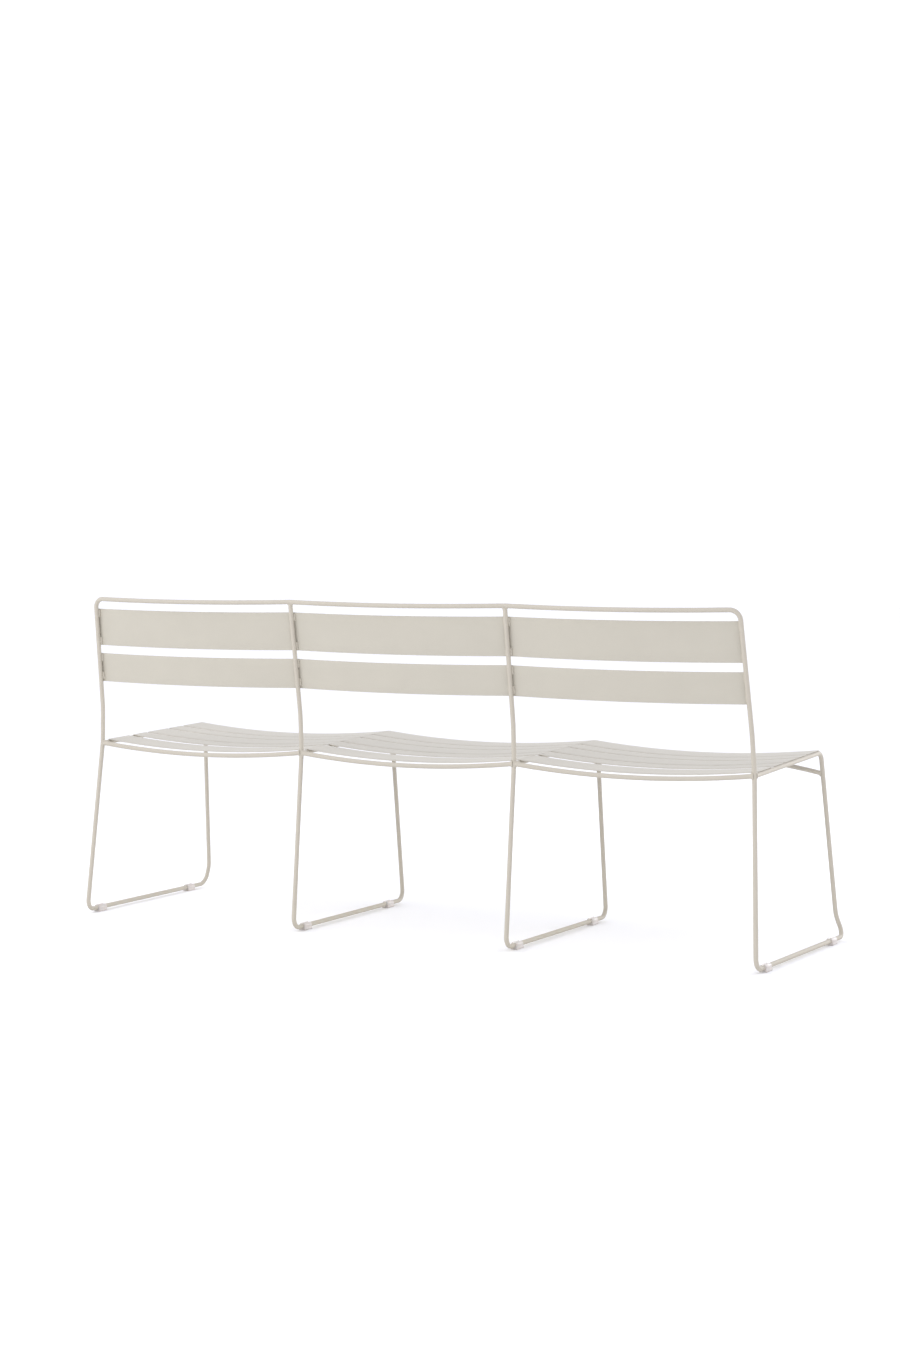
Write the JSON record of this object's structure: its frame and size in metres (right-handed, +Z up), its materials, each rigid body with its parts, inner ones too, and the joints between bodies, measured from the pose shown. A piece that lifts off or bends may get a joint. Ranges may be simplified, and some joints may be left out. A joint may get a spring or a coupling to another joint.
{
  "type": "garden bench",
  "caption": "Armless outdoor bench on bent round-rod sled frames, with bowed sheet back slats, a dished slatted seat and push-on floor glides.",
  "frame": {"origin": "on the floor, under the centre of the bench's bounding box", "axes": "+X along the bench, +Z up, the sitter faces -Y and the back leans towards +Y"},
  "size_m": [1.8354, 0.6286, 0.8054],
  "materials": {
    "powder_coat": "fine matt powder coat, warm sand beige",
    "glide_plastic": "satin moulded, milky off-white"
  },
  "bodies": {
    "root": {"end_frame_1": "powder_coat", "middle_frame_2": "powder_coat", "middle_frame_3": "powder_coat", "end_frame_4": "powder_coat", "top_rail": "powder_coat", "back_slat_upper_1": "powder_coat", "back_slat_upper_2": "powder_coat", "back_slat_upper_3": "powder_coat", "back_slat_lower_1": "powder_coat", "back_slat_lower_2": "powder_coat", "back_slat_lower_3": "powder_coat", "seat_slat_1_front": "powder_coat", "seat_slat_1_second": "powder_coat", "seat_slat_1_third": "powder_coat", "seat_slat_1_fourth": "powder_coat", "seat_slat_1_rear": "powder_coat", "seat_slat_2_front": "powder_coat", "seat_slat_2_second": "powder_coat", "seat_slat_2_third": "powder_coat", "seat_slat_2_fourth": "powder_coat", "seat_slat_2_rear": "powder_coat", "seat_slat_3_front": "powder_coat", "seat_slat_3_second": "powder_coat", "seat_slat_3_third": "powder_coat", "seat_slat_3_fourth": "powder_coat", "seat_slat_3_rear": "powder_coat", "rear_seat_rail_1": "powder_coat", "rear_seat_rail_2": "powder_coat", "rear_seat_rail_3": "powder_coat", "front_stretcher_1": "powder_coat", "front_stretcher_2": "powder_coat", "front_stretcher_3": "powder_coat", "glide_1_rear": "glide_plastic", "glide_1_front": "glide_plastic", "glide_2_rear": "glide_plastic", "glide_2_front": "glide_plastic", "glide_3_rear": "glide_plastic", "glide_3_front": "glide_plastic", "glide_4_rear": "glide_plastic", "glide_4_front": "glide_plastic"}
  },
  "joints": []
}
